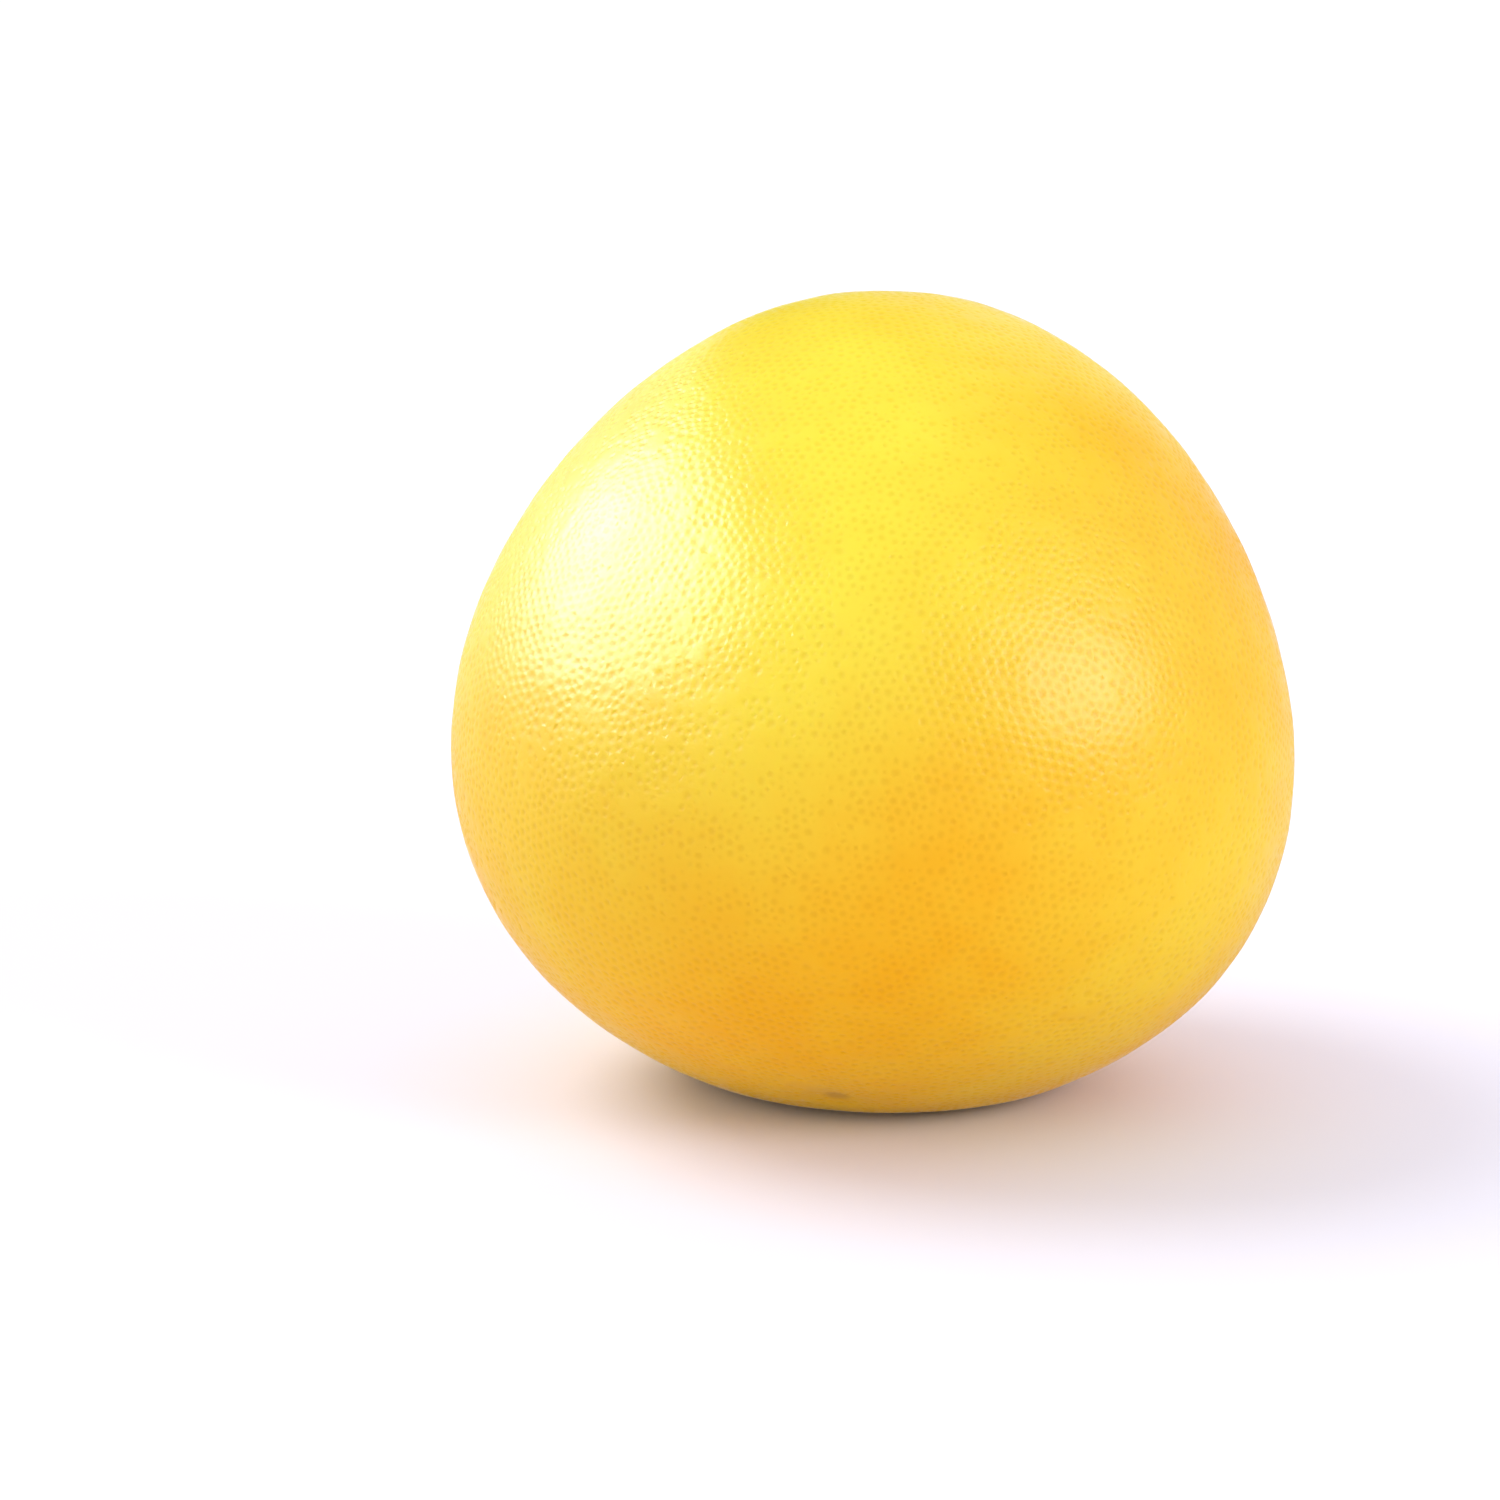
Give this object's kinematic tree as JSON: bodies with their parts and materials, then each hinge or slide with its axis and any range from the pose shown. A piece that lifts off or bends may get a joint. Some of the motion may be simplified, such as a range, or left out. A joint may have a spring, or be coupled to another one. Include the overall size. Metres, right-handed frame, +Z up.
{
  "type": "pomelo",
  "caption": "Whole ripe pomelo, slightly pear-shaped, resting on a small flat spot with its dried stem button up and leaning back.",
  "frame": {"origin": "on the surface that the fruit rests on, below the middle of its box", "axes": "+Z up from the rest spot, +X to the right and +Y away, as seen from the side that the stem end leans away from"},
  "size_m": [0.1572, 0.1492, 0.149],
  "materials": {
    "rind": "waxy golden yellow citrus peel, pitted all over with fine oil glands",
    "dried_calyx": "dull dried green-brown calyx and cut stem"
  },
  "bodies": {
    "root": {"fruit": "rind", "stem_button": "dried_calyx"}
  },
  "joints": []
}
